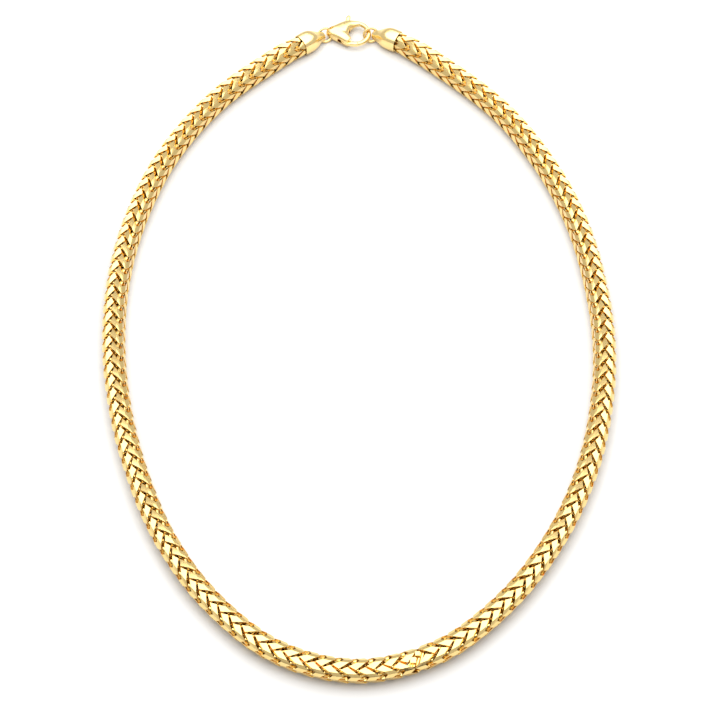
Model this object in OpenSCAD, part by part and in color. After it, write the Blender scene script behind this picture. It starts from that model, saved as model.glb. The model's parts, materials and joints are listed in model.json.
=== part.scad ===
/* [Chain] */
// Distance from one link to the next along the chain
link_pitch = 4; // [3.8:0.1:4.4]
// Width of the square chain from flat to flat
chain_w = 5.4; // [5.2:0.1:5.6]
// Flat of each face as a share of the chain's width, the rest is the cut corner
flat_share = 0.5; // [0.46:0.01:0.54]
// Thickness of the flat strips that show
strip_t = 0.76; // [0.7:0.02:0.78]
// Width of the wire that runs inside the chain
wire_w = 0.74; // [0.6:0.02:0.76]
// Thickness of the wire that runs inside the chain
wire_t = 0.7; // [0.6:0.02:0.72]
// Distance between the first links of the two runs where they meet
switch_gap = 1.6; // [1.4:0.1:2]
// Side of the square plate that fills the switch
plate_w = 1.5; // [1.2:0.1:1.6]

/* [End caps] */
// Width of a cap at its mouth
cap_w = 5.6; // [5.5:0.1:6]
// Length of a cap from mouth to tip
cap_len = 7.7; // [7.4:0.1:8.2]
// Wall of a cap round the chain
cap_wall = 0.28; // [0.24:0.01:0.32]
// Depth of the cap's mouth
cap_bore = 3.4; // [3.4:0.1:3.6]
// Width of a cap at its tip
cap_tip_w = 2.3; // [2.1:0.1:2.5]
// Gap between the chain and the cap's wall
cap_gap = 0.14; // [0.12:0.01:0.2]

/* [Jump rings] */
// Outer diameter of a jump ring
ring_d = 4.4; // [4.38:0.02:4.46]
// Wire of a jump ring
ring_wire = 0.76; // [0.7:0.02:0.76]
// Hole for a jump ring in a cap or in the clasp's tail
eye_d = 1.5; // [1.46:0.02:1.56]

/* [Clasp] */
// Width of the clasp's head
clasp_w = 8.9; // [8.8:0.05:9]
// Thickness of the clasp's body
clasp_t = 3.2; // [3:0.1:3.4]
// Thickness of the round hook
hook_d = 1.3; // [1.2:0.02:1.34]
// Thickness of the lever
lever_t = 1; // [0.8:0.05:1.1]
// Diameter of the rivet that the lever turns on
rivet_d = 1; // [0.9:0.05:1.1]
// Running gap round the lever and its rivet
lever_gap = 0.08; // [0.06:0.01:0.12]
// Gap between the lever's nose and the tip of the hook
nose_gap = 0.14; // [0.1:0.01:0.2]

/* [Hidden] */
gold = [0.93, 0.76, 0.42];
pale_gold = [0.96, 0.82, 0.52];

// The chain's middle line on the surface, clockwise from the right cap's eye to the left cap's:
// x, y and how many degrees the chain's top leans outwards there
route = [
    [4.65, 108.05, 0], [10.4, 104.95, 0], [19.8, 98, 0], [36.5, 81.5, 6], [48.2, 62.8, 10],
    [56, 43, 12], [60.1, 22.9, 12], [61.6, 2.7, 12], [59.9, -17.2, 12],
    [55.2, -37, 13], [47, -55.9, 15], [35.2, -73.2, 17], [19.4, -87, 18],
    [0, -92.8, 18], [-19.5, -87.6, 18], [-35.4, -73.6, 17], [-47, -55.8, 15],
    [-54.6, -36.6, 13], [-59.6, -17.2, 12], [-62.1, 2.7, 12], [-61.8, 23.4, 12],
    [-58, 44.4, 12], [-50.3, 65.4, 9], [-37.9, 84.4, 5], [-23, 98.6, 0],
    [-16.2, 103.5, 0], [-10.9, 107.5, 0]];
// Where the two runs meet, as a length along the route from the right cap's eye
switch_at = 236;
// Middle of the object's footprint in the route's own frame
middle = [-0.38, 9.83];

half_w = chain_w / 2;
eye_inset = 1.3;
cap_reach = cap_len - eye_inset;
steps = 10;
last = len(route) - 1;

// Point on the round curve through the route: span i, share u of the span
function route_point(i) = i < 0 ? 2 * route[0] - route[1] :
    i > last ? 2 * route[last] - route[last - 1] : route[i];
function curve(i, u) =
    let (a = route_point(i - 1), b = route_point(i), c = route_point(i + 1), d = route_point(i + 2))
    b + u * (c - a) / 2 + u * u * (a - 2.5 * b + 2 * c - 0.5 * d)
    + u * u * u * (1.5 * b - 1.5 * c + 0.5 * (d - a));
path = [for (i = [0:last - 1], j = [0:steps - 1]) curve(i, j / steps), route[last]];
function flat(p) = [p[0], p[1]];
lengths = [for (i = 0, s = 0; i < len(path);
    s = s + (i < len(path) - 1 ? norm(flat(path[i + 1]) - flat(path[i])) : 0), i = i + 1) s];
path_len = lengths[len(path) - 1];
x_at = [for (i = [0:len(path) - 1]) [lengths[i], path[i][0]]];
y_at = [for (i = [0:len(path) - 1]) [lengths[i], path[i][1]]];
lean_at = [for (i = [0:len(path) - 1]) [lengths[i], path[i][2]]];
function spot(s) = [lookup(s, x_at), lookup(s, y_at)];
function heading(s) =
    let (d = spot(min(s + 1.5, path_len)) - spot(max(s - 1.5, 0)))
    d / norm(d);

// The chain's axis is as high as the leaning section needs to rest on the surface. It comes to the
// middle of the caps at both ends, where they also draw the chain in a little
function from_cap(s) = min(s, path_len - s) - cap_reach;
function ease(u) = let (v = max(0, min(1, u))) v * v * (3 - 2 * v);
function axis_h(s) =
    let (lean = lookup(s, lean_at), rest = half_w * max(cos(lean) + flat_share * sin(lean),
        -under[UP] * cos(lean) + under[OUT] * sin(lean)))
    cap_w / 2 + (rest - cap_w / 2) * ease(from_cap(s) / (3 * link_pitch));
grip = (cap_w / 2 - cap_wall - cap_gap) / half_w;
function squeeze(s) = grip + (1 - grip) * ease(from_cap(s) / (1.5 * link_pitch));

// A point of the chain: s along it, out from the loop and up from the chain's axis
function place(s, out, up) =
    let (t = heading(s), p = spot(s), lean = lookup(s, lean_at), k = squeeze(s),
        o = k * (out * cos(lean) + up * sin(lean)))
    [p[0] - o * t[1] - middle[0], p[1] + o * t[0] - middle[1],
        axis_h(s) + k * (up * cos(lean) - out * sin(lean))];

// Half a link, from the middle of the chain's side up to its middle: how far along (pitches), how far
// out and up (halves of the chain's width), which way it faces, how it turns and tips (degrees),
// half its width and its depth
ALONG = 0;
OUT = 1;
UP = 2;
FACE = 3;
TURN = 4;
TIP = 5;
HALF = 6;
DEEP = 7;
side_half = 0.345 * link_pitch;
half_link = [
    [0, 0.66, 0, 0, 0, 0, side_half, strip_t],
    [0.35, 1, flat_share, 22.5, 0, 0, 0.92 * side_half, strip_t * 1.1],
    [0.56, flat_share, 1, 67.5, 0, 0, 0.8 * side_half, strip_t * 1.1],
    [1.05, 0.01, 0.95, 90, -32, 37, 0.68 * side_half, strip_t]];
// The ends of the wire inside the link, under the left half and under the right half
left_end = [1.11, -0.335, 0.17, 90, -71, 31, wire_w / 2, wire_t];
right_end = [1.11, -0.335, 0.17, 90, -105, 133, wire_w / 2, wire_t];
// The plain wire under a link, at the cut corner of the section
under = [0.42, 0.84, -0.92, -52, 0, 0, 0.86 * side_half, strip_t * 1.1];
// The upright wire that closes the half link in a cap
upright = [1.18, -0.4, 0, 90, -71, 90, wire_w / 2, wire_t];
// Across and deep shares of the five corners of the wire's section
section = [[-1, 0], [1, 0], [0.86, 0.72], [0, 1], [-0.86, 0.72]];
sides = len(section);

// One ring of a link's section. A run is where it starts, its direction along the route (1 or -1)
// and its pitch. hand is -1 for a link's right half, lower is -1 for the half mirrored downwards
// and way is -1 for a ring that is passed the other way round
function ring(row, run, shift, hand, lower, way) =
    let (w = [cos(row[TURN]), -sin(row[TURN]) * sin(row[FACE]), sin(row[TURN]) * cos(row[FACE])],
        n = [0, cos(row[FACE]), sin(row[FACE])], g = cross(w, n),
        m = cos(row[TIP]) * n + sin(row[TIP]) * g,
        c = [(row[ALONG] + shift) * run[2], row[OUT] * half_w, row[UP] * half_w])
    [for (v = section)
        let (q = c + way * v[0] * row[HALF] * w - v[1] * row[DEEP] * m)
        place(run[0] + run[1] * q[0], run[1] * hand * q[1], lower * q[2])];
function backward(list) = [for (i = [len(list) - 1:-1:0]) list[i]];

// A link leans: its right half lies one and a half pitches on from its left half
link_lean = 1.5;
function rings_of(rows, run, shift, hand, way) = [for (row = rows) ring(row, run, shift, hand, 1, way)];
function left_rings(run, k) = rings_of([each half_link, left_end], run, k, 1, 1);
function right_rings(run, k) =
    rings_of([right_end, each backward(half_link)], run, k, -1, 1);
function link_rings(run, k) = concat(left_rings(run, k), right_rings(run, k + link_lean),
    [ring(under, run, k + link_lean, -1, 1, 1), ring(under, run, k, 1, 1, 1)]);
// The last link in a cap has a left half alone, and the same again below it
function end_rings(run, k) = concat(rings_of([each half_link, upright], run, k, 1, 1),
    [for (i = [len(half_link) - 1:-1:1]) ring(half_link[i], run, k, 1, -1, 1)]);
// The joining link is made of the right halves before both runs' first links, with a square plate
// between them on top and plain wires below
plate_at = -switch_gap / 2 / link_pitch;
plate_half = plate_w / 2 / link_pitch;
function plate_ring(run, at) =
    ring([at, 0, 0.93, 90, -90, 0, plate_w / 2, wire_t], run, 0, 1, 1, 1);
function joining_rings(a, b) = concat(
    [plate_ring(a, plate_at - plate_half), plate_ring(a, plate_at + plate_half)],
    [ring(left_end, a, -1, 1, 1, 1)], right_rings(a, link_lean - 1),
    [ring(under, a, link_lean - 1, -1, 1, 1), ring(under, b, link_lean - 1, -1, 1, -1)],
    rings_of([each half_link, right_end], b, link_lean - 1, -1, -1),
    [ring(left_end, b, -1, 1, 1, -1)]);

// Walls from each ring to the next, closed round the link. A slip says after which ring the wire
// twists and how many corners on the next ring is met
link_slips = [[3, 4], [4, 2], [5, 1]];
end_slips = [[3, 4], [4, 1]];
joining_slips = [[2, 2], [3, 1], [13, 1], [14, 2]];
function slip_at(slips, i) =
    let (hits = [for (p = slips) if (p[0] == i) p[1]])
    len(hits) > 0 ? hits[0] : 0;
function walls(count, slips) = [for (i = [0:count - 1], j = [0:sides - 1])
    let (k = slip_at(slips, i), next = (i + 1) % count,
        a = i * sides + j, b = i * sides + (j + 1) % sides,
        c = next * sides + (j + 1 + k) % sides, d = next * sides + (j + k) % sides)
    each [[a, b, c], [a, c, d]]];
module solid_of(rings, slips) {
    polyhedron(points = [for (r = rings) each r], faces = walls(len(rings), slips), convexity = 6);
}

// A run of links from the switch to a cap: its start, direction, pitch and number of whole links
function run_of(dir) =
    let (start = switch_at + dir * switch_gap / 2,
        length = dir > 0 ? path_len - cap_reach - start : start - cap_reach,
        count = round(length / link_pitch - 1))
    [start, dir, length / (count + 1), count];
left_run = run_of(1);
right_run = run_of(-1);
module run(r) {
    for (k = [0:r[3] - 1]) solid_of(link_rings(r, k), link_slips);
    solid_of(end_rings(r, r[3]), end_slips);
}
module chain_left() {
    color(gold) run(left_run);
}
module chain_right() {
    color(gold) run(right_run);
}
module joining_link() {
    color(gold) solid_of(joining_rings(left_run, right_run), joining_slips);
}

// The jump rings lie tilted on the surface, the left one turned a little as well
ring_r = (ring_d - ring_wire) / 2;
ring_tilt = 50;
left_turn = 15;
right_ring = [2.95, 108.45, ring_wire / 2 + 0.02 + ring_r * sin(ring_tilt)];
left_ring = [-9.42, 108.36, ring_wire / 2 + 0.02 + ring_r * 0.784];
eye_shift = 0.24;
ring_gap = 0.12;
module in_ring(at, turn) {
    translate([at[0] - middle[0], at[1] - middle[1], at[2]])
        rotate([ring_tilt, 0, 0])
            rotate([0, turn, 0])
                children();
}
module jump_ring(at, turn) {
    in_ring(at, turn)
        rotate_extrude($fn = 64)
            translate([ring_r, 0])
                circle(d = ring_wire, $fn = 24);
}
// The hole that a jump ring passes through, on its left (-1) or right (1) side. It is straight, with
// room beside it for the ring's own curve
module eye(at, turn, side) {
    in_ring(at, turn) {
        translate([side * (ring_r - eye_shift), 0, 0])
            rotate([90, 0, 0])
                cylinder(d = eye_d, h = 9, center = true, $fn = 48);
        rotate_extrude($fn = 64)
            translate([ring_r, 0])
                circle(d = ring_wire + 2 * ring_gap, $fn = 24);
    }
}
module jump_ring_left() {
    color(pale_gold) jump_ring(left_ring, left_turn);
}
module jump_ring_right() {
    color(pale_gold) jump_ring(right_ring, 0);
}

// A cap's shape from mouth to tip: share of its length, share of the way from the tip's width to
// the mouth's
cap_curve = [[0, 1], [0.34, 1], [0.46, 0.94], [0.58, 0.77], [0.7, 0.47], [0.82, 0.18], [0.92, 0.05],
    [1, 0]];
cap_tip_h = 1.95;
cap_round = 1.24;
function cap_half(share) = cap_tip_w / 2 + (cap_w - cap_tip_w) / 2 * share;
function cap_mid(share) = cap_tip_h + (cap_w / 2 - cap_tip_h) * share;
module cap_plan() {
    polygon([for (p = cap_curve) [p[0] * cap_len, cap_half(p[1])],
        for (p = backward(cap_curve)) [p[0] * cap_len, -cap_half(p[1])]]);
}
module cap_side() {
    polygon([for (p = cap_curve) [p[0] * cap_len, cap_mid(p[1]) + cap_half(p[1])],
        for (p = backward(cap_curve)) [p[0] * cap_len, cap_mid(p[1]) - cap_half(p[1])]]);
}
// Rounds the corners off, tilted down to the tip
module cap_rounding() {
    translate([0, 0, cap_w / 2])
        rotate([0, 90 + atan((cap_w / 2 - cap_tip_h) / cap_len), 0])
            rotate_extrude($fn = 64)
                polygon([[0, -1], [cap_round * cap_half(1), -1],
                    for (p = cap_curve) [cap_round * cap_half(p[1]), p[0] * (cap_len - 1)],
                    [cap_tip_w * 0.5, cap_len - 0.5], [cap_tip_w * 0.34, cap_len + 0.05],
                    [0, cap_len + 0.05]]);
}
// The mouth has the chain's own cut corners
module cap_mouth() {
    half = cap_w / 2 - cap_wall;
    corner = (half_w * grip * 1.82 + 0.15) / sqrt(2);
    translate([-1, 0, cap_w / 2])
        intersection() {
            translate([0, -half, -half])
                cube([cap_bore + 1, 2 * half, 2 * half]);
            rotate([45, 0, 0])
                translate([0, -corner, -corner])
                    cube([cap_bore + 1, 2 * corner, 2 * corner]);
        }
}
module cap_solid() {
    difference() {
        intersection() {
            linear_extrude(height = cap_w + 1)
                cap_plan();
            rotate([90, 0, 0])
                translate([0, 0, -cap_w])
                    linear_extrude(height = 2 * cap_w)
                        cap_side();
            cap_rounding();
        }
        cap_mouth();
    }
}
module place_cap(mouth, tip) {
    translate([mouth[0] - middle[0], mouth[1] - middle[1], 0])
        rotate([0, 0, atan2(tip[1] - mouth[1], tip[0] - mouth[0])])
            cap_solid();
}
module end_cap_left() {
    color(pale_gold)
        difference() {
            place_cap(spot(path_len - cap_reach), spot(path_len));
            eye(left_ring, left_turn, -1);
        }
}
module end_cap_right() {
    color(pale_gold)
        difference() {
            place_cap(spot(cap_reach), spot(0));
            eye(right_ring, 0, 1);
        }
}

// The clasp lies flat. Its head is round, its tail is narrow and has the left jump ring in it
hook_x = 2.4;
hook_r = (clasp_w - hook_d) / 2;
head = [hook_x - hook_r, 108.8];
tail = [-7.9, 109.1];
tail_r = 1.35;
clasp_mid = 1.85;
pivot = [-4.7, 108];
gate_r = 5;
slot_h = lever_t + 2 * lever_gap;
hook_end = -77;
gate_end = -103;
module in_clasp() {
    translate([-middle[0], -middle[1], clasp_mid])
        children();
}
module opening() {
    intersection() {
        translate(head) circle(r = hook_r - hook_d / 2 - 0.04, $fn = 96);
        translate([0.1, 108.6]) circle(r = 3.05, $fn = 96);
    }
}
// Teardrop from the tail to the head, cut off where the round hook and the lever's gate take over
module body_outline() {
    difference() {
        intersection() {
            union() {
                translate(head) circle(d = clasp_w + 0.08, $fn = 96);
                translate(tail) circle(r = tail_r, $fn = 48);
                polygon([[-8.35, 110.4], [-6.2, 111.6], [-3.9, 112.6], [-1.4, 113.2], [-1.4, 104.4],
                    [-4, 105.2], [-6.4, 106.7], [-8.35, 107.85]]);
            }
            polygon([[-10, 103], [-2.95, 103], [-2.95, 108], [0, 110], [1, 115], [-10, 115]]);
        }
        opening();
    }
}
// Wide rounds over the width and over the length, the same on top and below
pillow_w = 8;
pillow_len = 14;
belly_x = -3.5;
module pillow(side) {
    translate([0, head[1], side * (pillow_w - clasp_t / 2)])
        rotate([0, 90, 0])
            cylinder(r = pillow_w, h = 40, center = true, $fn = 128);
}
module long_pillow(side) {
    translate([belly_x, head[1], side * (pillow_len - clasp_t / 2)])
        rotate([90, 0, 0])
            cylinder(r = pillow_len, h = 40, center = true, $fn = 128);
}
module lever_slot() {
    linear_extrude(height = slot_h, center = true)
        polygon([[-2.3, 115], [-2.5, 111.6], [-2.7, 110.5], [-2.7, 103], [-5.2, 103], [-6.2, 107],
            [-6.2, 109.6], [-7.4, 115]]);
}
module clasp_body() {
    color(pale_gold) {
        difference() {
            in_clasp() {
                difference() {
                    intersection() {
                        linear_extrude(height = clasp_t, center = true)
                            body_outline();
                        pillow(1);
                        pillow(-1);
                        long_pillow(1);
                        long_pillow(-1);
                    }
                    lever_slot();
                    translate(pivot)
                        cylinder(d = rivet_d + 0.06, h = clasp_t - 0.8, center = true, $fn = 48);
                }
                difference() {
                    translate(head)
                        rotate([0, 0, hook_end - 6])
                            rotate_extrude(angle = 95 - hook_end + 6, $fn = 96)
                                translate([hook_r, 0])
                                    circle(d = hook_d, $fn = 32);
                    translate(pivot)
                        cylinder(r = gate_r + nose_gap, h = 3, center = true, $fn = 128);
                }
            }
            eye(left_ring, left_turn, 1);
        }
    }
}
module clasp_rivet() {
    color(gold)
        in_clasp()
            translate(pivot)
                cylinder(d = rivet_d, h = clasp_t - 0.9, center = true, $fn = 48);
}
module lever_plate() {
    difference() {
        union() {
            translate(pivot) circle(r = 1.15, $fn = 48);
            polygon([[-5.7, 108.4], [-4.05, 113], [-3.6, 115], [-2.55, 114.6], [-2.75, 113], [-3.6, 108.2]]);
            translate([-3.08, 114.8]) circle(r = 0.56, $fn = 32);
            polygon([[-5.6, 107.4], [-4, 105.4], [-3.2, 104.75], [-2.6, 104.6], [-1.5, 104.6], [-1.5, 105.4],
                [-2.6, 105.7], [-3.7, 107.6]]);
        }
        translate(pivot) circle(d = rivet_d + 2 * lever_gap, $fn = 48);
    }
}
module clasp_lever() {
    color(pale_gold)
        in_clasp() {
            linear_extrude(height = lever_t, center = true)
                lever_plate();
            intersection() {
                translate(head)
                    rotate([0, 0, gate_end])
                        rotate_extrude(angle = hook_end + 9 - gate_end, $fn = 96)
                            translate([hook_r, 0])
                                circle(d = hook_d, $fn = 32);
                translate(pivot)
                    cylinder(r = gate_r, h = 3, center = true, $fn = 128);
            }
        }
}

chain_left();
chain_right();
joining_link();
end_cap_left();
end_cap_right();
jump_ring_left();
jump_ring_right();
clasp_body();
clasp_rivet();
clasp_lever();
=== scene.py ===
import json
import math

import bpy
import numpy as np
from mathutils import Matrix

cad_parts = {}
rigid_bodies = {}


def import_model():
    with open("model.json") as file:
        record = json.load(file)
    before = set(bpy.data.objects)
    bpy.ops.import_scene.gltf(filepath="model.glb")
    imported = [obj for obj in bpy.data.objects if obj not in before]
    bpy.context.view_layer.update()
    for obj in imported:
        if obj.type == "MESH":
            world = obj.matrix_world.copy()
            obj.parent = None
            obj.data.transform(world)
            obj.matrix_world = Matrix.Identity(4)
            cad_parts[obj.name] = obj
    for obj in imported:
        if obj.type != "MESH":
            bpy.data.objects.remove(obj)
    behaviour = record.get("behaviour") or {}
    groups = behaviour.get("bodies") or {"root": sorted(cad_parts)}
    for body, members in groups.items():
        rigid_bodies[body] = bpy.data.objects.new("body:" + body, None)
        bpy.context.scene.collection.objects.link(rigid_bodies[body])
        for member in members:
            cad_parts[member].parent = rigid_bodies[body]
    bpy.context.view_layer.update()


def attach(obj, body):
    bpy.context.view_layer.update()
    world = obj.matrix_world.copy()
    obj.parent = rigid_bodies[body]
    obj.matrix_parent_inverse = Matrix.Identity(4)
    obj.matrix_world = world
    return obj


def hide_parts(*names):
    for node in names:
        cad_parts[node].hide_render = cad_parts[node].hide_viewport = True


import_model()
mm = 0.001

# ---- The chain ----
# A franco chain: V-shaped links of flat wire, each pushed through the two before it, so that every
# face shows a herringbone. The strips are cut flat with a diamond tool on the faces and corners, and
# the whole chain is then polished. All sizes are in millimetres unless a comment says otherwise.
PITCH = 4.0
CHAIN_W = 5.4
HALF_W = CHAIN_W / 2
STRIP_T = 0.76
# The flat of each face as a share of the chain's width, and the lowest corner of a leaning link: out
# and down from the chain's middle in halves of its width
FLAT_SHARE = 0.5
LOW_OUT, LOW_DOWN = 0.84, 0.92
# Where the chain's two runs meet, as a length along the route, and the gap that they leave
SWITCH_AT = 236.0
SWITCH_GAP = 1.6
# The caps that hold its ends: width, length, wall, play round the chain, and how far the middle of
# the eye is from the tip
CAP_W = 5.6
CAP_LEN = 7.7
CAP_WALL = 0.28
CAP_GAP = 0.14
EYE_INSET = 1.3
CAP_REACH = CAP_LEN - EYE_INSET
# Links over which the chain rises to the middle of a cap, and over which it is drawn in
RISE_LINKS = 3
GRIP_LINKS = 1.5
# The middle of the necklace's footprint, which is the frame's origin
MIDDLE = np.array([-0.38, 9.83])

# The chain's middle line on the table, clockwise from the right cap's eye to the left cap's: x, y
# and how many degrees the chain's top leans outwards
ROUTE = np.array([
    [4.65, 108.05, 0], [10.4, 104.95, 0], [19.8, 98, 0], [36.5, 81.5, 6], [48.2, 62.8, 10],
    [56, 43, 12], [60.1, 22.9, 12], [61.6, 2.7, 12], [59.9, -17.2, 12], [55.2, -37, 13],
    [47, -55.9, 15], [35.2, -73.2, 17], [19.4, -87, 18], [0, -92.8, 18], [-19.5, -87.6, 18],
    [-35.4, -73.6, 17], [-47, -55.8, 15], [-54.6, -36.6, 13], [-59.6, -17.2, 12], [-62.1, 2.7, 12],
    [-61.8, 23.4, 12], [-58, 44.4, 12], [-50.3, 65.4, 9], [-37.9, 84.4, 5], [-23, 98.6, 0],
    [-16.2, 103.5, 0], [-10.9, 107.5, 0]])


def smooth_through(points, steps):
    """Round curve through the points: on each span a cubic whose slope at a point is half the step
    between that point's two neighbours."""
    points = np.asarray(points, float)
    padded = np.vstack([2 * points[0] - points[1], points, 2 * points[-1] - points[-2]])
    a, b, c, d = (padded[i:len(padded) - 3 + i, None] for i in range(4))
    u = (np.arange(steps) / steps)[None, :, None]
    spans = b + u * (c - a) / 2 + u ** 2 * (a - 2.5 * b + 2 * c - 0.5 * d) \
        + u ** 3 * (1.5 * b - 1.5 * c + 0.5 * (d - a))
    return np.vstack([spans.reshape(-1, points.shape[1]), points[-1]])


ROUTE_STEPS = 10
HEADING_REACH = 1.5
line = smooth_through(ROUTE, ROUTE_STEPS)
line_at = np.concatenate([[0], np.cumsum(np.hypot(*np.diff(line[:, :2], axis=0).T))])
LINE_LEN = line_at[-1]


def spot(s):
    """The route's x and y at a length s along it."""
    return np.stack([np.interp(s, line_at, line[:, 0]), np.interp(s, line_at, line[:, 1])], -1)


def heading(s):
    """The route's direction at s, from one point a little before it to one a little after."""
    d = spot(np.minimum(s + HEADING_REACH, LINE_LEN)) - spot(np.maximum(s - HEADING_REACH, 0))
    return d / np.linalg.norm(d, axis=-1, keepdims=True)


def ease(u):
    """From 0 to 1 with no slope at either end: three squares less two cubes."""
    v = np.clip(u, 0, 1)
    return v * v * (3 - 2 * v)


def place(s, out, up):
    """A point of the chain in metres: s along it, out from the loop and up from its middle line.
    The section is turned outwards by the lean. Its middle is as high as its lower flat or its lowest
    corner needs to rest on the table, and it is drawn in where a cap holds it."""
    t, p = heading(s), spot(s)
    lean = np.radians(np.interp(s, line_at, line[:, 2]))
    from_cap = np.minimum(s, LINE_LEN - s) - CAP_REACH
    rest = HALF_W * np.maximum(np.cos(lean) + FLAT_SHARE * np.sin(lean),
                               LOW_DOWN * np.cos(lean) + LOW_OUT * np.sin(lean))
    middle_h = CAP_W / 2 + (rest - CAP_W / 2) * ease(from_cap / (RISE_LINKS * PITCH))
    grip = (CAP_W / 2 - CAP_WALL - CAP_GAP) / HALF_W
    k = grip + (1 - grip) * ease(from_cap / (GRIP_LINKS * PITCH))
    o = k * (out * np.cos(lean) + up * np.sin(lean))
    z = middle_h + k * (up * np.cos(lean) - out * np.sin(lean))
    return mm * np.stack([p[..., 0] - o * t[..., 1] - MIDDLE[0],
                          p[..., 1] + o * t[..., 0] - MIDDLE[1], z], -1)


# Half a strip, from the fold at the chain's corner up to the middle of its top and down inside.
# Each row: along (pitches), out and up (halves of the chain's width), the way it faces, its turn and
# its tip (degrees), half its width away from the cap and towards it (pitches), depth (thicknesses)
STRIP = np.array([
    [0.36, 0.785, 0.785, 45.0, 0, 0, 0.300, 0.290, 1.0],
    [0.36, 0.760, 0.800, 48.0, 0, 0, 0.300, 0.290, 1.0],
    [0.59, 0.500, 1.000, 67.5, 0, 0, 0.270, 0.270, 1.1],
    [1.07, 0.050, 0.945, 90.0, -28, 30, 0.235, 0.225, 1.0],
    [1.17, -0.160, 0.580, 90.0, -34, 44, 0.150, 0.140, 0.8]])
# The raised tip of the small flat on the fold, given as the rows' first three numbers are
FACET_TIP = np.array([0.42, 0.640, 0.908])
# How far each long edge is broken, and where the round back has its shoulders: shares of half the
# width and of the depth
EDGE = 0.06
BACK_WIDE, BACK_DEEP = 0.85, 0.75


def strip_rings(rows):
    """Rings of eight corners across the strip at each row: a flat face with both long edges broken,
    straight walls and a rounded back. At a row, w runs across the strip, n stands out from the
    chain's face, and m, the way the depth is measured, is n tipped along the strip."""
    face, turn, tip = np.radians(rows[:, 3:6]).T
    w = np.stack([np.cos(turn), -np.sin(turn) * np.sin(face), np.sin(turn) * np.cos(face)], -1)
    n = np.stack([0 * face, np.cos(face), np.sin(face)], -1)
    m = np.cos(tip)[:, None] * n + np.sin(tip)[:, None] * np.cross(w, n)
    low, high, deep = rows[:, 6] * PITCH, rows[:, 7] * PITCH, rows[:, 8] * STRIP_T
    one = np.ones_like(low)
    across = np.stack([EDGE - low, 0 * one, high - EDGE, high, BACK_WIDE * high, 0 * one,
                       -BACK_WIDE * low, -low], 1)
    depth = np.stack([0 * one, 0 * one, 0 * one, EDGE * one, BACK_DEEP * deep, deep,
                      BACK_DEEP * deep, EDGE * one], 1)
    c = rows[:, :3] * [PITCH, HALF_W, HALF_W]
    return c[:, None] + across[..., None] * w[:, None] - depth[..., None] * m[:, None]


# The two arms of a strip are alike, one on the chain's top and one on its side, with out and up
# exchanged. A small three-cornered flat is cut on the fold: its base lies along the fold and its
# tip is raised towards the chain's top.
top_arm = strip_rings(STRIP)
side_arm = top_arm[:, :, [0, 2, 1]]
top_arm[1, 1] = FACET_TIP * [PITCH, HALF_W, HALF_W]
whole_strip = np.concatenate([side_arm[:1:-1], top_arm])


def tube_rings(points, radius, corners):
    """Round rings about a line of points, square to the line: each is a circle in the plane of two
    directions square to the line's own, the first of them also square to a fixed slanted one."""
    points = np.asarray(points, float)
    t = np.gradient(points, axis=0)
    t /= np.linalg.norm(t, axis=1, keepdims=True)
    a = np.cross(t, [0.0, 0.3, 1.0])
    a /= np.linalg.norm(a, axis=1, keepdims=True)
    b = np.cross(t, a)
    v = np.linspace(0, 2 * np.pi, corners, endpoint=False)
    return points[:, None] + radius * (np.cos(v)[None, :, None] * a[:, None]
                                       + np.sin(v)[None, :, None] * b[:, None])


# The link's wire where it shows between the strips: the radius of the part that crosses inside, of
# the round back and of the legs, and the corners of its section
CROSS_R = 0.36
BACK_R = 0.40
LEG_R = 0.42
WIRE_SIDES = 8
IN_LINK = [PITCH, HALF_W, HALF_W]
# It crosses inside the link, from the end of its left strip to the end of its right one
cross_line = smooth_through(np.array([
    [1.09, -0.16, 0.56], [1.13, -0.33, 0.17], [1.85, -0.05, 0.14], [2.59, 0.33, 0.17],
    [2.59, 0.16, 0.56]]) * IN_LINK, 3)
cross_wire = tube_rings(cross_line, CROSS_R, WIRE_SIDES)
# The round back of the next link fills the corner between two strips
corner_wire = tube_rings(np.array([
    [0.50, 0.56, 0.56], [0.68, 0.47, 0.47], [0.98, 0.47, 0.47], [1.18, 0.56, 0.56]])
    * IN_LINK, BACK_R, WIRE_SIDES)
# And its legs lie side by side under the middle of each face
leg_wire = tube_rings(np.array([
    [0.85, 0.36, 0.76], [1.15, 0.22, 0.69], [1.45, 0.02, 0.63], [1.75, -0.20, 0.52]])
    * IN_LINK, LEG_R, WIRE_SIDES)


def skin(rings, corners, count, flip):
    """Faces between each ring and the next, closed round, with a face on both ends, for count
    copies laid one after another in one list of points."""
    i, j = np.meshgrid(np.arange(rings - 1), np.arange(corners), indexing="ij")
    a, b = i * corners + j, i * corners + (j + 1) % corners
    quads = np.stack([a, b, b + corners, a + corners], -1).reshape(-1, 4)
    ends = [list(range(corners))[::-1], list(range((rings - 1) * corners, rings * corners))]
    faces = []
    for k in range(count):
        base = k * rings * corners
        faces += (quads + base).tolist() + [[c + base for c in end] for end in ends]
    return [f[::-1] for f in faces] if flip else faces


def run_of(way):
    """A run of links from the switch to a cap: start, direction, pitch and number of links."""
    start = SWITCH_AT + way * SWITCH_GAP / 2
    length = LINE_LEN - CAP_REACH - start if way > 0 else start - CAP_REACH
    count = round(length / PITCH - 1)
    return start, way, length / (count + 1), count


# No two links lie quite alike: how far a strip is rolled about the chain's middle line (radians) and
# slid along it, in the common spread of chance
ROLL, SLIDE = 0.012, 0.03


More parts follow.
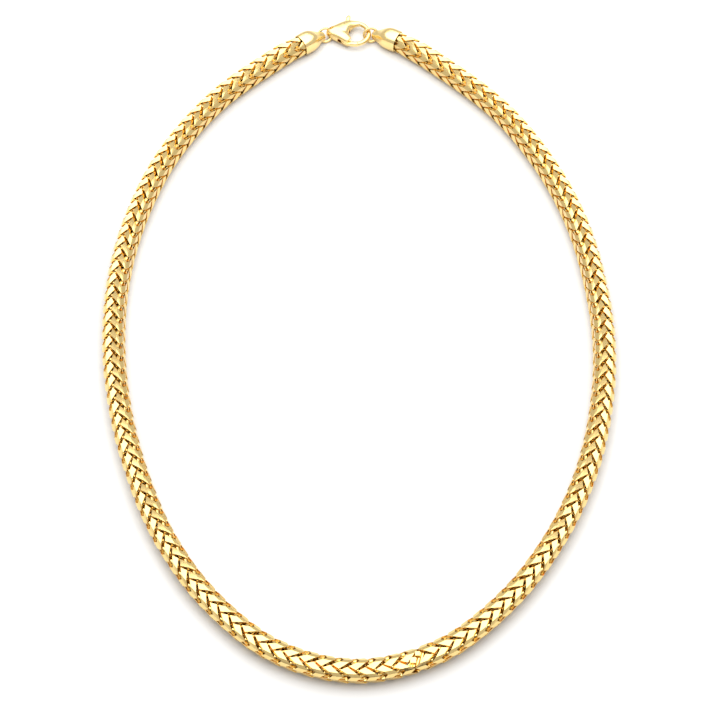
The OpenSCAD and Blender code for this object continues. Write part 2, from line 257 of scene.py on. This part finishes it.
def laid(rings, run, shifts, hand, rng=None, lower=1):
    """Copies of a link's part laid along a run, one for each shift (pitches), each a little out of
    line where a source of chance is given. hand is -1 for the right half, lower -1 for below."""
    start, way, pitch = run[:3]
    along, out, up = rings[..., 0] * pitch / PITCH, rings[..., 1], rings[..., 2]
    shifts = np.asarray(shifts, float).reshape(-1, 1, 1)
    s = start + way * (along[None] + shifts * pitch)
    roll, slide = (0, 0) if rng is None else rng.normal(0, 1, (2, len(shifts), 1, 1)) * [
        [[[ROLL]]], [[[SLIDE]]]]
    return place(s + slide, way * hand * (out[None] + roll * up[None]),
                 lower * (up[None] - roll * out[None])).reshape(-1, 3)


# The pattern of wear, in waves to the metre: soft smudges, fine grain and hairline scratches, which
# are drawn out along two directions (stretch along x, y and z, and turn in radians)
SMUDGES, GRAIN, HAIRS = 420.0, 3600.0, 900.0
HAIRS_ACROSS, HAIRS_ALONG = ((9.0, 0.6, 3.0), 0.5), ((0.6, 9.0, 3.0), -0.3)
# How the smudges blend the deep gold in, how much the grain adds to the roughness and the least that
# it may be, and how far the painted shade in the hollows reaches (metres) and how soon it falls off
DEEP_SWING, DEEP_SHARE = 1.4, 0.35
GRAIN_ROUGH, LEAST_ROUGH = 0.06, 0.04
SHADE_REACH, SHADE_FALL = 0.0011, 0.8


def gold_group():
    """Polished gold as it is after wear, with shade painted into its hollows. Broad soft smudges
    change the roughness, fine scratches lie two ways and nick the surface, and an occlusion node
    paints the hollows in a darker colour as shade."""
    g = bpy.data.node_groups.new("worn_polish_and_shade", "ShaderNodeTree")
    face = g.interface
    face.new_socket("Gold", in_out="INPUT", socket_type="NodeSocketColor")
    face.new_socket("Deep gold", in_out="INPUT", socket_type="NodeSocketColor")
    face.new_socket("Hollow", in_out="INPUT", socket_type="NodeSocketColor")
    for name in ("Polish", "Smudge", "Scratch"):
        face.new_socket(name, in_out="INPUT", socket_type="NodeSocketFloat")
    face.new_socket("Color", in_out="OUTPUT", socket_type="NodeSocketColor")
    for name in ("Roughness", "Height"):
        face.new_socket(name, in_out="OUTPUT", socket_type="NodeSocketFloat")
    put, join = g.nodes.new, g.links.new
    given, result = put("NodeGroupInput"), put("NodeGroupOutput")
    coord = put("ShaderNodeTexCoord")

    def noise(scale, detail, stretch=None, turn=0.0):
        """A noise on Object coordinates, drawn out and turned where that is asked."""
        n = put("ShaderNodeTexNoise")
        n.inputs["Scale"].default_value = scale
        n.inputs["Detail"].default_value = detail
        if stretch is None:
            join(coord.outputs["Object"], n.inputs["Vector"])
        else:
            m = put("ShaderNodeMapping")
            m.inputs["Scale"].default_value = stretch
            m.inputs["Rotation"].default_value = (0.2, 0.1, turn)
            join(coord.outputs["Object"], m.inputs["Vector"])
            join(m.outputs["Vector"], n.inputs["Vector"])
        return n.outputs["Fac"]

    def math_node(kind, a, b, c=None):
        """One step of arithmetic on numbers and other nodes' results."""
        n = put("ShaderNodeMath")
        n.operation = kind
        for socket, value in zip(n.inputs, (a, b, c)):
            if isinstance(value, (int, float)):
                socket.default_value = value
            elif value is not None:
                join(value, socket)
        return n.outputs[0]

    smudge = noise(SMUDGES, 3.0)
    fine = noise(GRAIN, 2.0)
    hair_a = noise(HAIRS, 2.0, *HAIRS_ACROSS)
    hair_b = noise(HAIRS, 2.0, *HAIRS_ALONG)
    hairs = math_node("MULTIPLY", hair_a, hair_b)
    # Painted shade: an occlusion node finds the closed-in places, and the shade colour is mixed in
    # there over the gold
    painted_shade = put("ShaderNodeAmbientOcclusion")
    painted_shade.samples = 6
    painted_shade.inputs["Distance"].default_value = SHADE_REACH
    unshaded_share = math_node("POWER", painted_shade.outputs["AO"], SHADE_FALL)
    swing = math_node("MULTIPLY", math_node("SUBTRACT", smudge, 0.5), given.outputs["Smudge"])
    rough = math_node("ADD", given.outputs["Polish"], swing)
    rough = math_node("MULTIPLY_ADD", math_node("SUBTRACT", fine, 0.5), GRAIN_ROUGH, rough)
    rough = math_node("MAXIMUM", rough, LEAST_ROUGH)
    blend = put("ShaderNodeMix")
    blend.data_type = "RGBA"
    share = math_node("MULTIPLY_ADD", math_node("SUBTRACT", smudge, 0.5), DEEP_SWING, DEEP_SHARE)
    clamped = put("ShaderNodeClamp")
    join(share, clamped.inputs["Value"])
    join(clamped.outputs["Result"], blend.inputs["Factor"])
    join(given.outputs["Gold"], blend.inputs["A"])
    join(given.outputs["Deep gold"], blend.inputs["B"])
    # Mixes the painted shade colour into the closed-in places and leaves the smudged gold on open
    # surfaces
    shade = put("ShaderNodeMix")
    shade.data_type = "RGBA"
    join(unshaded_share, shade.inputs["Factor"])
    join(given.outputs["Hollow"], shade.inputs["A"])
    join(blend.outputs["Result"], shade.inputs["B"])
    join(shade.outputs["Result"], result.inputs["Color"])
    join(rough, result.inputs["Roughness"])
    join(math_node("MULTIPLY", hairs, given.outputs["Scratch"]), result.inputs["Height"])
    return g


worn_polish_and_shade = gold_group()
# How deep a scratch nicks the surface (metres), and how strongly it shows
NICK_DEPTH, NICK_STRENGTH = 0.00002, 0.35


def gold_material(name, gold, deep, painted_shade, polish, smudge, scratch):
    """Solid gold: a metal shader fed by the worn polish and the painted shade. It takes the colours
    of the worn flats, of the smudges and of the painted shade in the hollows, the roughness, how
    much the smudges swing it, and how deep the scratches are."""
    mat = bpy.data.materials.new(name)
    mat.use_nodes = True
    nodes, join = mat.node_tree.nodes, mat.node_tree.links.new
    shader = nodes["Principled BSDF"]
    shader.inputs["Metallic"].default_value = 1.0
    wear_and_shade = nodes.new("ShaderNodeGroup")
    wear_and_shade.node_tree = worn_polish_and_shade
    wear_and_shade.inputs["Gold"].default_value = (*gold, 1)
    wear_and_shade.inputs["Deep gold"].default_value = (*deep, 1)
    wear_and_shade.inputs["Hollow"].default_value = (*painted_shade, 1)
    wear_and_shade.inputs["Polish"].default_value = polish
    wear_and_shade.inputs["Smudge"].default_value = smudge
    wear_and_shade.inputs["Scratch"].default_value = scratch
    bump = nodes.new("ShaderNodeBump")
    bump.inputs["Distance"].default_value = NICK_DEPTH
    bump.inputs["Strength"].default_value = NICK_STRENGTH
    join(wear_and_shade.outputs["Color"], shader.inputs["Base Color"])
    join(wear_and_shade.outputs["Roughness"], shader.inputs["Roughness"])
    join(wear_and_shade.outputs["Height"], bump.inputs["Height"])
    join(bump.outputs["Normal"], shader.inputs["Normal"])
    return mat


# Its third colour is painted shade: a darker gold laid into the gaps between the links
cut_gold = gold_material("cut_gold", (0.92, 0.685, 0.29), (0.89, 0.63, 0.23), (0.82, 0.57, 0.20),
                         0.14, 0.08, 0.5)


def piece(name, points, faces, material, node, body, angle=None):
    """A mesh of the points and faces that stands for a node of the frame and moves with a body.
    With an angle, edges softer than that are shaded round."""
    mesh = bpy.data.meshes.new(name)
    mesh.from_pydata(np.asarray(points).tolist(), [], faces)
    mesh.materials.append(material)
    if angle is not None:
        mesh.shade_smooth()
        mesh.set_sharp_from_angle(angle=math.radians(angle))
    obj = bpy.data.objects.new(name, mesh)
    bpy.context.scene.collection.objects.link(obj)
    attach(obj, body)
    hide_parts(node)
    return obj


def joined(parts):
    """Several lists of points and faces as one."""
    points, faces, base = [], [], 0
    for p, f in parts:
        points.append(p)
        faces += [[c + base for c in one] for one in f]
        base += len(p)
    return np.vstack(points), faces


def link_parts(run, strips, crosses, seed):
    """The strips and inner wires of a run. Strips come as their shifts, hand (1 left, -1 right) and
    1 for the chain's top or -1 for its underside. The wires cross at each shift in crosses."""
    rng = np.random.default_rng(seed)
    side_leg = leg_wire[:, :, [0, 2, 1]]
    parts = []
    for shifts, hand, lower in strips:
        for shape, loose, flip in ((whole_strip, rng, 1), (corner_wire, None, 1),
                                   (leg_wire, None, 1), (side_leg, None, -1)):
            parts.append((laid(shape, run, shifts, hand, loose, lower),
                          skin(*shape.shape[:2], len(shifts), hand * lower * flip < 0)))
    return parts + [(laid(cross_wire, run, crosses, 1, None, lower),
                     skin(*cross_wire.shape[:2], len(crosses), lower < 0)) for lower in (1, -1)]


# Cut edges stay sharp: only bends softer than this many degrees are shaded round
CUT_ANGLE = 4.2
left_run, right_run = run_of(1), run_of(-1)
for name, run, seed in (("chain_left", left_run, 3), ("chain_right", right_run, 5)):
    count = run[3]
    whole, mid = np.arange(count + 1), np.arange(count + 1) + 0.5
    strips = [(whole, 1, 1), (mid[1:], -1, 1), (mid, 1, -1), (whole, -1, -1)]
    points, faces = joined(link_parts(run, strips, np.arange(count), seed))
    piece(name + "_links", points, faces, cut_gold, name, "necklace", CUT_ANGLE)

# ---- The joining link ----
# One link of the same wire closes the chain where its two runs meet head to head. Between the two
# herringbones it has a pair of small square plates, cut flat like the strips, over wires that run
# slantwise from one side of the chain to the other.
PLATE_T = 0.7
# How far in the foot of a plate is drawn, and the share of its thickness where that begins
PLATE_FOOT, PLATE_WALL = 0.15, 0.6
# A plate's middle, along and out from the link's own, half its length and width, and how high it is
# (halves of the chain's width)
PLATES = [[1.00, 0.12, 0.74, 0.70, 0.96], [-0.50, -1.06, 0.60, 0.52, 0.98]]
# How both are turned against the chain's own direction
PLATE_TURN = np.array([[-0.958, 0.287], [-0.287, -0.958]])
# The slanted wires: where each one crosses the chain's middle, how far its ends are from there along
# and out, how high it is at its ends and in its middle
SLANTS = (-1.5, -0.75, 0.0, 0.75, 1.5)
SLANT_ALONG, SLANT_OUT = 1.1, 1.5
SLANT_END_H, SLANT_MID_H = 1.1, 1.25
JOIN_SEED = 11


def plate_rings(along, out, half_x, half_y, up):
    """Rings of four corners down a plate: its top edge broken, its walls straight, its foot drawn
    in. Each is a rectangle less the inset, turned and moved to the plate's middle."""
    rings = []
    for depth, inset in ((0.0, EDGE), (EDGE, 0.0), (PLATE_T * PLATE_WALL, 0.0),
                         (PLATE_T, PLATE_FOOT)):
        corners = np.array([[-1, -1], [1, -1], [1, 1], [-1, 1]]) * [half_x - inset, half_y - inset]
        rings.append(np.column_stack([corners @ PLATE_TURN + [along, out],
                                      np.full(4, up * HALF_W - depth)]))
    return np.array(rings)


middle_run = (SWITCH_AT, 1, PITCH, 0)
parts = [(laid(plate_rings(*plate) * [1, 1, side], middle_run, [0], 1), skin(4, 4, 1, side < 0))
         for plate in PLATES for side in (1, -1)]
# Its right strips stand half a pitch before and after each run's first left strip, and its lower
# left strip half a pitch before
join_strips = [([-0.5, 0.5], -1, 1), ([-0.5], 1, -1)]
for run in (left_run, right_run):
    parts += link_parts(run, join_strips, [-1], JOIN_SEED)
for shift in SLANTS:
    wire = tube_rings([[shift + SLANT_ALONG, SLANT_OUT, SLANT_END_H], [shift, 0.0, SLANT_MID_H],
                       [shift - SLANT_ALONG, -SLANT_OUT, SLANT_END_H]], LEG_R, WIRE_SIDES)
    parts += [(laid(wire * [1, 1, side], middle_run, [0], 1), skin(3, WIRE_SIDES, 1, side < 0))
              for side in (1, -1)]
points, faces = joined(parts)
piece("joining_link_plate", points, faces, cut_gold, "joining_link", "necklace", CUT_ANGLE)

# ---- The end caps ----
# Square caps with round corners, cast hollow and soldered on to the ends of the chain. They swell a
# little behind the mouth and narrow to a tip with a hole for the jump ring.
CAP_TIP_H = 1.95
CAP_BORE = 3.4
EYE_D = 1.5
# How square the section is, from 2, a circle, upwards, and how many corners it is drawn with
CAP_POWER = 2.6
CAP_SIDES = 64
# Edges of the smooth castings sharper than this many degrees stay sharp
CAST_ANGLE = 35
# Share of the length, half the width, height of the middle
CAP_PROFILE = smooth_through([
    [0.00, 2.74, 2.80], [0.08, 2.78, 2.80], [0.20, 2.80, 2.80], [0.34, 2.77, 2.79],
    [0.46, 2.62, 2.72], [0.58, 2.30, 2.56], [0.70, 1.86, 2.34], [0.82, 1.46, 2.12],
    [0.92, 1.22, 2.00], [0.975, 1.08, 1.96], [1.00, 0.80, 1.95]], 4)
# Its third colour is painted shade: a dark brown gold laid into the mouths, slots and creases of the
# castings
pale_gold = gold_material("pale_gold", (0.98, 0.755, 0.35), (0.96, 0.70, 0.28), (0.62, 0.38, 0.10),
                          0.23, 0.08, 0.35)


def square_round(v, power):
    """A unit square with round corners: a circle's x and y each raised to 2 over the power."""
    c, s = np.cos(v), np.sin(v)
    return np.sign(c) * np.abs(c) ** (2 / power), np.sign(s) * np.abs(s) ** (2 / power)


def cap_rings():
    """Rings from the bottom of the bore out over the rim and along the outside to the tip: at each
    row a square with round corners, as wide and as high as the row says."""
    v = np.linspace(0, 2 * np.pi, CAP_SIDES, endpoint=False)
    y, z = square_round(v, CAP_POWER)
    inner = CAP_PROFILE[0, 1] - CAP_WALL
    # How deep, how far out and how high: the bottom of the bore, its wall and the rounded rim
    rows = [(CAP_BORE, 0.05, CAP_W / 2), (CAP_BORE, inner * 0.96, CAP_W / 2),
            (0.25, inner, CAP_W / 2), (0.05, inner + 0.04, CAP_W / 2),
            (0.0, inner + 0.12, CAP_W / 2)]
    rows += [(u * CAP_LEN, h, mid) for u, h, mid in CAP_PROFILE]
    rows += [(CAP_LEN + 0.06, 0.4, CAP_TIP_H), (CAP_LEN + 0.07, 0.05, CAP_TIP_H)]
    rows = np.array(rows)
    return np.stack([np.repeat(rows[:, :1], len(v), 1), rows[:, 1:2] * y,
                     rows[:, 2:3] + rows[:, 1:2] * z], -1)


def turned(points, degrees):
    """Points turned about the up axis, by the usual matrix of sines and cosines."""
    a = math.radians(degrees)
    return points @ np.array([[math.cos(a), math.sin(a), 0], [-math.sin(a), math.cos(a), 0],
                              [0, 0, 1]])


def cut_away(obj, points, faces):
    """Cuts a closed shape out of a piece for good."""
    mesh = bpy.data.meshes.new("cutter")
    mesh.from_pydata(np.asarray(points).tolist(), [], faces)
    tool = bpy.data.objects.new("cutter", mesh)
    bpy.context.scene.collection.objects.link(tool)
    cut = obj.modifiers.new("cut", "BOOLEAN")
    cut.operation, cut.solver, cut.object = "DIFFERENCE", "EXACT", tool
    bpy.context.view_layer.update()
    depsgraph = bpy.context.evaluated_depsgraph_get()
    done = bpy.data.meshes.new_from_object(obj.evaluated_get(depsgraph))
    done.name = obj.data.name + "_cut"
    obj.modifiers.clear()
    obj.data = done
    bpy.data.objects.remove(tool)
    done.shade_smooth()
    done.set_sharp_from_angle(angle=math.radians(CAST_ANGLE))


# ---- The jump rings ----
# Round gold wire bent to a ring and closed with a soldered joint. Each lies tilted between a cap and
# the clasp, the left one turned a little as well.
RING_D = 4.4
RING_WIRE = 0.76
RING_R = (RING_D - RING_WIRE) / 2
RING_TILT = 50
LEFT_TURN = 15
# How far a ring's lowest point is above the table, and how high its middle is above the middle of
# the wire there: the sine of the tilt, and a little more where the ring is turned as well
RING_LIFT = 0.02
RIGHT_RISE, LEFT_RISE = math.sin(math.radians(RING_TILT)), 0.784
RIGHT_RING = np.array([2.95, 108.45, RING_WIRE / 2 + RING_LIFT + RING_R * RIGHT_RISE])
LEFT_RING = np.array([-9.42, 108.36, RING_WIRE / 2 + RING_LIFT + RING_R * LEFT_RISE])
# How many faces the wire has round the ring and round itself. All of them are shaded round
RING_PARTS, RING_SIDES = 96, 24
RING_ANGLE = 60
# The bead of solder: how much it thickens the wire, and how long it is in radians
BEAD, BEAD_LONG = 0.05, 0.09
# The eye's hole is nearer to the ring's middle than the wire is, and reaches this far each way
EYE_SHIFT = 0.24
EYE_REACH = 4.5
EYE_SIDES = 40


def in_ring(points, at, turn):
    """From a ring's own plane to the necklace, in metres: turned about y, tilted about x, moved."""
    b, a = math.radians(turn), math.radians(RING_TILT)
    about_y = np.array([[math.cos(b), 0, -math.sin(b)], [0, 1, 0], [math.sin(b), 0, math.cos(b)]])
    about_x = np.array([[1, 0, 0], [0, math.cos(a), math.sin(a)], [0, -math.sin(a), math.cos(a)]])
    return mm * (points @ about_y @ about_x + at - [*MIDDLE, 0])


def ring_rings(wire, around, corners, seam):
    """Circles of wire round a larger circle, with a low bead where the joint is soldered: its
    height falls off as a bell does, by the square of the angle from the seam."""
    u = np.linspace(0, 2 * np.pi, around, endpoint=False)[:, None]
    v = np.linspace(0, 2 * np.pi, corners, endpoint=False)[None]
    bead = 1 + BEAD * np.exp(-((np.angle(np.exp(1j * (u - seam)))) / BEAD_LONG) ** 2)
    r = wire / 2 * bead
    return np.stack([(RING_R + r * np.cos(v)) * np.cos(u), (RING_R + r * np.cos(v)) * np.sin(u),
                     r * np.sin(v) + 0 * u], -1)


def closed_skin(rings, corners, flip=False):
    """Faces of a surface that closes both ways."""
    i, j = np.meshgrid(np.arange(rings), np.arange(corners), indexing="ij")
    i2, j2 = (i + 1) % rings, (j + 1) % corners
    quads = np.stack([i * corners + j, i2 * corners + j, i2 * corners + j2, i * corners + j2], -1)
    return [f[::-1] if flip else f for f in quads.reshape(-1, 4).tolist()]


for name, at, turn, seam in (("left", LEFT_RING, LEFT_TURN, 2.2), ("right", RIGHT_RING, 0, 1.3)):
    rings = ring_rings(RING_WIRE, RING_PARTS, RING_SIDES, seam)
    piece(f"jump_ring_{name}_wire", in_ring(rings.reshape(-1, 3), at, turn),
          closed_skin(RING_PARTS, RING_SIDES), pale_gold, f"jump_ring_{name}",
          "necklace", RING_ANGLE)


def eye_tools(at, turn, side):
    """The straight hole that a jump ring passes through."""
    line = np.array([[side * (RING_R - EYE_SHIFT), y, 0] for y in (-EYE_REACH, EYE_REACH)])
    rings = tube_rings(line, EYE_D / 2, EYE_SIDES)
    return in_ring(rings.reshape(-1, 3), at, turn), skin(2, EYE_SIDES, 1, False)


# The caps are made here, because the holes in their tips follow the rings
rings = cap_rings()
cap_faces = skin(len(rings), rings.shape[1], 1, False)
for name, ends, ring in (
        ("left", (LINE_LEN - CAP_REACH, LINE_LEN), (LEFT_RING, LEFT_TURN, -1)),
        ("right", (CAP_REACH, 0.0), (RIGHT_RING, 0, 1))):
    mouth, tip = spot(ends[0]), spot(ends[1])
    way = math.degrees(math.atan2(tip[1] - mouth[1], tip[0] - mouth[0]))
    points = mm * (turned(rings.reshape(-1, 3), way) + [*(mouth - MIDDLE), 0])
    cap = piece(f"end_cap_{name}_shell", points, cap_faces, pale_gold, f"end_cap_{name}",
                "necklace", CAST_ANGLE)
    cut_away(cap, *eye_tools(*ring))

# ---- The clasp ----
# A lobster clasp, cast in two halves round a spring: a smooth teardrop that narrows to a tail with
# a hole in it and runs on into a round hook. Between the halves is a slot for the lever.
HEAD = np.array([-1.4, 108.8])
HOOK_R = 3.8
HOOK_D = 1.3
# Where the hook ends and where it grows into the head, in degrees round the head's middle
HOOK_END, HOOK_ROOT = -77, 60
CLASP_MID = 1.85
CLASP_SIDES = 40
LEVER_T = 1.0
LEVER_GAP = 0.08
OPENING_MID = np.array([0.1, 108.6])
OPENING_R = 3.05


def on_circle(middle, radius, degrees):
    """Points on a circle: its radius times the cosine and the sine of each angle."""
    a = np.radians(np.atleast_1d(degrees))
    return middle + radius * np.stack([np.cos(a), np.sin(a)], -1)


# The clasp's outer and inner edge from the hook's end round the head to the tail and back, how thick
# it is there, and how square its section
hook_turn = np.linspace(HOOK_END, HOOK_ROOT, 9)
outer_edge = np.vstack([
    on_circle(HEAD, HOOK_R + HOOK_D / 2, hook_turn),
    [[-0.25, 113.1], [-1.6, 113.32], [-2.9, 113.38], [-4.2, 113.05], [-5.8, 112.15], [-7.3, 111.2],
     [-8.5, 110.42], [-9.25, 109.2], [-8.6, 107.98], [-7.4, 107.3], [-6.2, 106.6], [-5.1, 105.85],
     [-4.3, 105.3], [-3.5, 104.95]]])
inner_edge = np.vstack([
    on_circle(HEAD, HOOK_R - HOOK_D / 2, hook_turn),
    on_circle(OPENING_MID, OPENING_R, [97, 115, 132, 147, 160, 170, 175, 180, 184, 189, 194, 200,
                                       208, 217])])
thick = np.concatenate([np.full(len(hook_turn), HOOK_D), [
    1.42, 1.65, 2.05, 2.5, 2.9, 3.1, 3.2, 3.2, 3.2, 3.2, 3.15, 3.05, 2.95, 2.85]])
power = np.concatenate([np.full(len(hook_turn), 2.0), np.linspace(2.05, 2.7, 7), np.full(7, 2.7)])
spine = smooth_through(np.hstack([outer_edge, inner_edge, thick[:, None], power[:, None]]), 6)


def clasp_rings(rows, corners):
    """Across the clasp from its inner edge to its outer edge, an oval of the thickness there: cosine
    and sine each raised to 2 over the section's power, one for the width and one for the height."""
    v = np.linspace(0, 2 * np.pi, corners, endpoint=False)[None]
    outer, inner = rows[:, None, 0:2], rows[:, None, 2:4]
    e = 2 / rows[:, 5:6]
    c = np.sign(np.cos(v)) * np.abs(np.cos(v)) ** e
    z = rows[:, 4:5] / 2 * np.sign(np.sin(v)) * np.abs(np.sin(v)) ** e
    xy = (outer + inner) / 2 + (outer - inner) / 2 * c[..., None]
    return np.concatenate([xy, z[..., None]], -1)


body_rings = clasp_rings(spine, CLASP_SIDES)
# The hook's end is rounded by three smaller rings, set further on along a quarter of an oval
HOOK_TIP = 0.35
tip_side = body_rings[0] - body_rings[0].mean(0)
back = on_circle(HEAD, HOOK_R, HOOK_END)[0] - on_circle(HEAD, HOOK_R, HOOK_END + 1)[0]
back = np.array([*(back / np.linalg.norm(back)), 0])
round_end = np.array([body_rings[0].mean(0) + tip_side * math.cos(a) + back * HOOK_TIP * math.sin(a)
                      for a in (1.35, 0.9, 0.45)])
body_rings = np.concatenate([round_end, body_rings])


def in_clasp(points):
    """From the clasp's own middle plane to the necklace, in metres."""
    return mm * (np.asarray(points).reshape(-1, 3) + [-MIDDLE[0], -MIDDLE[1], CLASP_MID])


def prism(outline, low, high):
    """An outline as a straight-sided solid between two heights: two rings, one at each."""
    outline = np.asarray(outline, float)
    return np.stack([np.column_stack([outline, np.full(len(outline), h)]) for h in (low, high)])


clasp_faces = skin(len(body_rings), CLASP_SIDES, 1, False)
clasp = piece("clasp_body_shell", in_clasp(body_rings), clasp_faces, pale_gold, "clasp_body",
              "necklace", CAST_ANGLE)
# The slot leaves the lever room to swing, and is open above for its tab and below for its bar
SLOT_H = LEVER_T + 2 * LEVER_GAP
SLOT = [[-2.3, 116], [-7.4, 116], [-6.2, 109.6], [-6.2, 107], [-5.2, 102], [-2.2, 102],
        [-2.2, 107], [-2.7, 107.2], [-2.7, 110.5], [-2.5, 111.6]]
cut_away(clasp, in_clasp(prism(SLOT, -SLOT_H / 2, SLOT_H / 2)), skin(2, len(SLOT), 1, False))
cut_away(clasp, *eye_tools(LEFT_RING, LEFT_TURN, 1))

# ---- The lever ----
# The sprung gate: a plate that turns on a rivet inside the clasp, with a leaf-shaped tab for the
# thumb above and a bar below that closes the opening against the tip of the hook.
LEVER_SIDES = 24
LEVER_POWER = 2.8
LEVER_ANGLE = 40
# Along the lever from the tip of the tab to the pivot and on to the bar's nose: x, y, half as wide,
# half as thick
lever_line = smooth_through([
    [-2.93, 115.42, 0.05, 0.1], [-2.98, 115.22, 0.38, 0.32], [-3.1, 114.75, 0.56, 0.42],
    [-3.24, 114.2, 0.64, 0.45], [-3.36, 113.5, 0.62, 0.46], [-3.7, 112.2, 0.6, 0.48],
    [-4.2, 110.4, 0.75, 0.5], [-4.7, 108.4, 0.95, 0.5], [-4.7, 107.2, 0.9, 0.5],
    [-4.35, 106.1, 0.72, 0.5], [-3.6, 105.45, 0.62, 0.5], [-2.8, 105.2, 0.6, 0.55],
    [-2.2, 105.08, 0.62, 0.62], [-1.5, 105.0, 0.64, 0.63], [-0.78, 105.04, 0.64, 0.63],
    [-0.66, 105.06, 0.5, 0.5]], 4)


def flat_rings(rows, corners, power):
    """Along a flat line, square to it, squares with round corners of the given half width and half
    thickness."""
    t = np.gradient(rows[:, :2], axis=0)
    t /= np.linalg.norm(t, axis=1, keepdims=True)
    side = np.stack([-t[:, 1], t[:, 0]], 1)
    y, z = square_round(np.linspace(0, 2 * np.pi, corners, endpoint=False), power)
    xy = rows[:, None, :2] + rows[:, None, 2:3] * y[None, :, None] * side[:, None]
    return np.concatenate([xy, (rows[:, 3:4] * z)[..., None]], -1)


lever_rings = flat_rings(lever_line, LEVER_SIDES, LEVER_POWER)
lever_faces = skin(len(lever_rings), LEVER_SIDES, 1, False)
piece("clasp_lever_arm", in_clasp(lever_rings), lever_faces, pale_gold, "clasp_lever",
      "lever", LEVER_ANGLE)

# ---- The rivet ----
# A short gold pin in blind holes in the two halves of the clasp, which the lever turns on. It is
# hidden inside, so it keeps its plain shape and only takes the chain's gold.
for obj in bpy.data.objects:
    if obj.name.startswith("clasp_rivet") and obj.type == "MESH":
        obj.data.materials.clear()
        obj.data.materials.append(cut_gold)

# ---- Table and studio ----
# A plain white table, which isn't part of the necklace, under soft light: a broad light above, white
# all round, and a dark strip low in front that the steep facets of the gold reflect.
TABLE_R = 1.2
TABLE_SIDES = 64
TABLE_GREY = 0.78


def grey(level):
    """A grey of one level, as a colour."""
    return (level, level, level, 1)


table = bpy.data.materials.new("white_table")
table.use_nodes = True
table_shader = table.node_tree.nodes["Principled BSDF"]
table_shader.inputs["Base Color"].default_value = grey(TABLE_GREY)
table_shader.inputs["Roughness"].default_value = 0.6
table_shader.inputs["Specular IOR Level"].default_value = 0.2
mesh = bpy.data.meshes.new("table")
rim = on_circle(np.array([0.0, 0.0]), TABLE_R, np.linspace(0, 360, TABLE_SIDES, endpoint=False))
mesh.from_pydata(np.column_stack([rim, np.zeros(TABLE_SIDES)]).tolist(), [],
                 [list(range(TABLE_SIDES))])
mesh.materials.append(table)
floor = bpy.data.objects.new("table", mesh)
bpy.context.scene.collection.objects.link(floor)

# A broad soft light hangs level above the loop and a little behind it (metres and watts)
LAMP_WIDE, LAMP_DEEP, LAMP_WATTS = 1.25, 1.4, 12.0
LAMP_AT = (0, 0.35, 0.75)
lamp = bpy.data.lights.new("over_light", "AREA")
lamp.shape, lamp.size, lamp.size_y, lamp.energy = "RECTANGLE", LAMP_WIDE, LAMP_DEEP, LAMP_WATTS
over_light = bpy.data.objects.new("over_light", lamp)
over_light.location = LAMP_AT
bpy.context.scene.collection.objects.link(over_light)

# On the near side the room's brightness goes by height, which is the sine of the angle above the
# table: dark, then light, then a little lighter at the top. Round about it has one brightness, and
# the ground behind the table is white.
DARK_TO, LIGHT_FROM, TOP_FROM = 0.09, 0.135, 0.6
DARK, LIGHT, TOP, ROUND_ABOUT, GROUND = 0.01, 0.62, 0.72, 0.68, 0.95
# The near side is whole where a direction's y is below the first of these, and gone past the second
NEAR_WHOLE, NEAR_GONE = -0.86, -0.70
world = bpy.data.worlds.new("studio")
world.use_nodes = True
bpy.context.scene.world = world
nodes, join = world.node_tree.nodes, world.node_tree.links.new
coord = nodes.new("ShaderNodeTexCoord")
split = nodes.new("ShaderNodeSeparateXYZ")
join(coord.outputs["Generated"], split.inputs[0])
rise = nodes.new("ShaderNodeValToRGB")
low, top = rise.color_ramp.elements
low.position, low.color = DARK_TO, grey(DARK)
top.position, top.color = TOP_FROM, grey(TOP)
rise.color_ramp.elements.new(LIGHT_FROM).color = grey(LIGHT)
join(split.outputs["Z"], rise.inputs["Fac"])
front = nodes.new("ShaderNodeMapRange")
front.inputs["From Min"].default_value = NEAR_WHOLE
front.inputs["From Max"].default_value = NEAR_GONE
join(split.outputs["Y"], front.inputs["Value"])
room = nodes.new("ShaderNodeMix")
room.data_type = "RGBA"
join(front.outputs["Result"], room.inputs["Factor"])
join(rise.outputs["Color"], room.inputs["A"])
room.inputs["B"].default_value = grey(ROUND_ABOUT)
path = nodes.new("ShaderNodeLightPath")
mix = nodes.new("ShaderNodeMix")
mix.data_type = "RGBA"
join(path.outputs["Is Camera Ray"], mix.inputs["Factor"])
join(room.outputs["Result"], mix.inputs["A"])
mix.inputs["B"].default_value = grey(GROUND)
join(mix.outputs["Result"], nodes["Background"].inputs["Color"])
nodes["Background"].inputs["Strength"].default_value = 1.0
bpy.context.scene.view_settings.view_transform = "Standard"

# ---- Camera ----
# It looks down at 53.7 degrees through a long lens, at a point a little off the loop's middle. Its
# distance is in metres, its lens and the width of its film in millimetres.
CAMERA_RISE = math.radians(53.7)
CAMERA_FAR = 0.8079
CAMERA_LENS, FILM_W = 160, 36
camera = bpy.data.cameras.new("camera")
camera.lens, camera.sensor_width = CAMERA_LENS, FILM_W
eye = bpy.data.objects.new("camera", camera)
target = mm * np.array([-MIDDLE[0], -MIDDLE[1], 0])
eye.location = target + CAMERA_FAR * np.array([0, -math.cos(CAMERA_RISE), math.sin(CAMERA_RISE)])
eye.rotation_euler = (math.pi / 2 - CAMERA_RISE, 0, 0)
bpy.context.scene.collection.objects.link(eye)
bpy.context.scene.camera = eye
